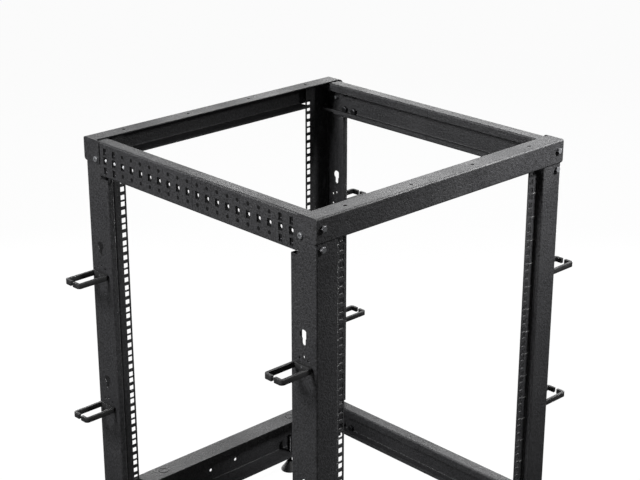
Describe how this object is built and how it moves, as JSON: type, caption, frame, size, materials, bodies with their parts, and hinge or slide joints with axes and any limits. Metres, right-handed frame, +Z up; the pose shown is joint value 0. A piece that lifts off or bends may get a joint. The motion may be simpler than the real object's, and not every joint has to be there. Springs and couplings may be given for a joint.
{
  "type": "four post open frame rack",
  "caption": "Open frame equipment rack with four flanged posts, wrapped cross beams, perforated telescoping depth beams, cable rings and levelling feet.",
  "frame": {"origin": "on the floor, at the middle of the rack's plan", "axes": "+X to the right of the rack's front, +Y from the front to the rear, +Z up; the front, with the flanges that equipment is fixed to first, faces -Y"},
  "size_m": [0.73, 0.609, 0.8404],
  "materials": {
    "frame_powder_coat": "fine textured matt powder coat",
    "hook_plastic": "moulded, fine grain",
    "foot_plastic": "moulded, satin",
    "zinc_steel": "zinc plated",
    "black_fastener": "black plated, semi-gloss"
  },
  "bodies": {
    "root": {"post_front_left": "frame_powder_coat", "foot_front_left": "foot_plastic", "foot_stud_front_left": "zinc_steel", "hook_upper_front_left": "hook_plastic", "hook_lower_front_left": "hook_plastic", "side_top_front_left": "frame_powder_coat", "side_bottom_front_left": "frame_powder_coat", "post_front_right": "frame_powder_coat", "foot_front_right": "foot_plastic", "foot_stud_front_right": "zinc_steel", "hook_upper_front_right": "hook_plastic", "hook_lower_front_right": "hook_plastic", "side_top_front_right": "frame_powder_coat", "side_bottom_front_right": "frame_powder_coat", "post_rear_left": "frame_powder_coat", "foot_rear_left": "foot_plastic", "foot_stud_rear_left": "zinc_steel", "hook_upper_rear_left": "hook_plastic", "hook_lower_rear_left": "hook_plastic", "side_top_rear_left": "frame_powder_coat", "side_bottom_rear_left": "frame_powder_coat", "post_rear_right": "frame_powder_coat", "foot_rear_right": "foot_plastic", "foot_stud_rear_right": "zinc_steel", "hook_upper_rear_right": "hook_plastic", "hook_lower_rear_right": "hook_plastic", "side_top_rear_right": "frame_powder_coat", "side_bottom_rear_right": "frame_powder_coat", "bolts_front": "black_fastener", "bolts_rear": "black_fastener", "beam_top_front": "frame_powder_coat", "beam_top_rear": "frame_powder_coat", "beam_bottom_front": "frame_powder_coat", "beam_bottom_rear": "frame_powder_coat", "sleeve_top_left": "frame_powder_coat", "sleeve_top_right": "frame_powder_coat", "sleeve_bottom_left": "frame_powder_coat", "sleeve_bottom_right": "frame_powder_coat"}
  },
  "joints": []
}
